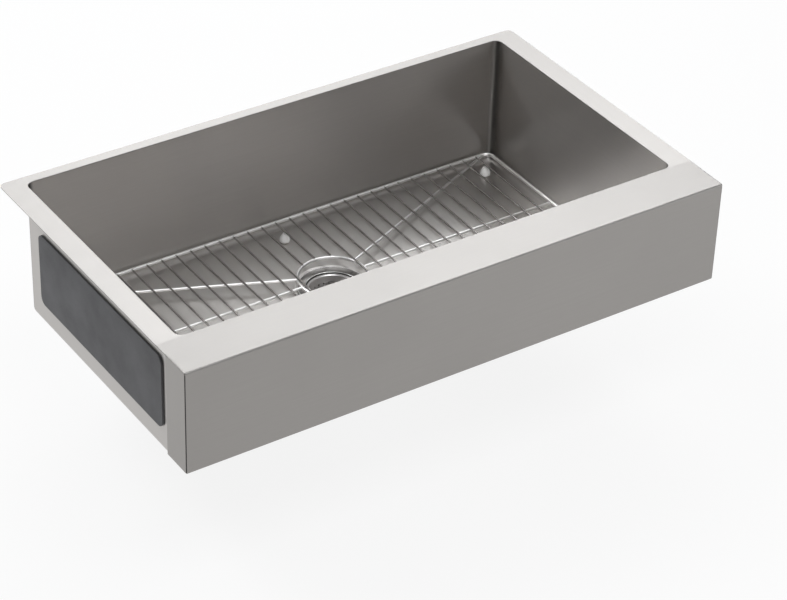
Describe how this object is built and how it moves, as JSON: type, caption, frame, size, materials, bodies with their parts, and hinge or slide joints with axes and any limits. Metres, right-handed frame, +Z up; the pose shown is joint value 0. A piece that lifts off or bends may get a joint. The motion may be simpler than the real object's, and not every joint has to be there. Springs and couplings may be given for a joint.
{
  "type": "apron front kitchen sink",
  "caption": "Single bowl undermount kitchen sink of stainless sheet with a flat folded apron, basket strainer and lift-out wire rack.",
  "frame": {"origin": "centre of the rim's top plane, midway between the ends and between the apron's face and the back of the rim", "axes": "+X to the right along the sink, +Y from the apron to the back, +Z up"},
  "size_m": [0.908, 0.54, 0.3833],
  "materials": {
    "sink_steel": "brushed",
    "mill_steel": "mill",
    "damping_pad": "matte",
    "strainer_steel": "polished",
    "seal_rubber": "matte",
    "fibre_ring": "matte",
    "cast_zinc": "as cast",
    "plated_brass": "polished",
    "wire_steel": "electropolished",
    "foot_vinyl": "translucent"
  },
  "bodies": {
    "sink": {"bowl": "sink_steel", "apron": "sink_steel", "apron_brace_left": "mill_steel", "apron_brace_right": "mill_steel", "sound_pad_floor_left": "damping_pad", "sound_pad_floor_right": "damping_pad", "sound_pad_end_left": "damping_pad", "sound_pad_end_right": "damping_pad", "sound_pad_back": "damping_pad", "sound_pad_front": "damping_pad", "sound_pad_apron": "damping_pad", "strainer_body": "strainer_steel", "strainer_flange_seal": "seal_rubber", "strainer_gasket": "seal_rubber", "strainer_friction_ring": "fibre_ring", "strainer_locknut": "cast_zinc", "tailpiece_washer": "seal_rubber", "tailpiece": "plated_brass", "coupling_nut": "plated_brass"},
    "basket": {"basket_cup": "strainer_steel", "basket_stem": "strainer_steel", "basket_knob": "strainer_steel", "basket_collar": "strainer_steel", "basket_stopper": "seal_rubber", "basket_retaining_ring": "strainer_steel"},
    "rack": {"rack_rail": "wire_steel", "rack_cross_rods": "wire_steel", "rack_long_wires": "wire_steel", "rack_diagonal_wires": "wire_steel", "rack_drain_ring": "wire_steel", "rack_foot_posts": "wire_steel", "rack_foot_front_left": "foot_vinyl", "rack_foot_front_middle": "foot_vinyl", "rack_foot_front_right": "foot_vinyl", "rack_foot_back_left": "foot_vinyl", "rack_foot_back_middle": "foot_vinyl", "rack_foot_back_right": "foot_vinyl"}
  },
  "joints": [
    {"name": "rack_lift", "type": "slide", "parent": "sink", "child": "rack", "axis": [0, 0, 1], "range_m": [0, 0.24]},
    {"name": "basket_lift", "type": "slide", "parent": "sink", "child": "basket", "axis": [0, 0, 1], "range_m": [0, 0.29]}
  ]
}
